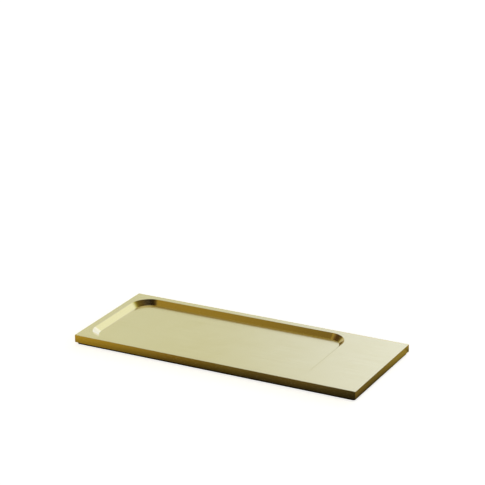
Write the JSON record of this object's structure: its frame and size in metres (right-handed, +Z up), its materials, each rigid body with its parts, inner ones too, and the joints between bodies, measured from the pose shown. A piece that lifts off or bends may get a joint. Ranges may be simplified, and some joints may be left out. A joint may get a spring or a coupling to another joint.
{
  "type": "coin tray",
  "caption": "Flat solid brass tray with one shallow bevelled recess for coins and pocket items, a plain land at one end and a thin dark pad underneath.",
  "frame": {"origin": "on the surface that the tray stands on, at the centre of the slab seen from above", "axes": "+X along the slab toward its plain land, +Y across the slab, +Z up out of the recess"},
  "size_m": [0.225, 0.09, 0.0073],
  "materials": {
    "brass": "satin brushed",
    "adhesive": "matte",
    "pad": "matte"
  },
  "bodies": {
    "root": {"tray_plate": "brass", "adhesive_sheet": "adhesive", "base_pad": "pad"}
  },
  "joints": []
}
